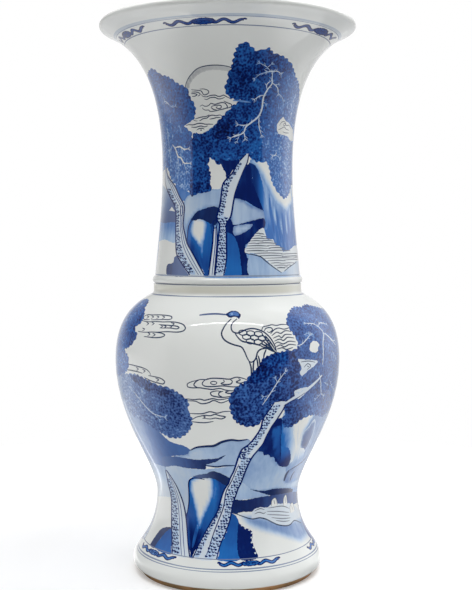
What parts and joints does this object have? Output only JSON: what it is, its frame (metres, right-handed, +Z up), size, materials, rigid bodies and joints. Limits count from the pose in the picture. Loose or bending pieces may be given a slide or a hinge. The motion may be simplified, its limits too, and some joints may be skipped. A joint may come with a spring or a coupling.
{
  "type": "yen yen vase",
  "caption": "Tall blue and white porcelain vase with a trumpet neck, flaring mouth, raised collar, round-shouldered body and spreading foot, thrown in luted sections under a clear glaze.",
  "frame": {"origin": "centre of the standing ring, on the surface that the vase stands on", "axes": "+Z up along the axis of the vase; -Y is the side with the crane, which faces the viewer"},
  "size_m": [0.2119, 0.212, 0.455],
  "materials": {
    "clay": "fired porcelain clay, matt white",
    "biscuit": "bare porcelain, burnt brown on the standing ring",
    "slip": "fired slip, matt",
    "painted_glaze": "clear gloss glaze over cobalt blue painting",
    "clear_glaze": "clear gloss glaze over white porcelain"
  },
  "bodies": {
    "root": {"trumpet_neck": "clay", "collar": "clay", "shoulder": "clay", "lower_body": "clay", "foot": "biscuit", "base": "clay", "neck_lute": "slip", "collar_lute": "slip", "belly_lute": "slip", "waist_lute": "slip", "base_lute": "slip", "outer_glaze": "painted_glaze", "inner_glaze": "clear_glaze", "base_glaze": "clear_glaze"}
  },
  "joints": []
}
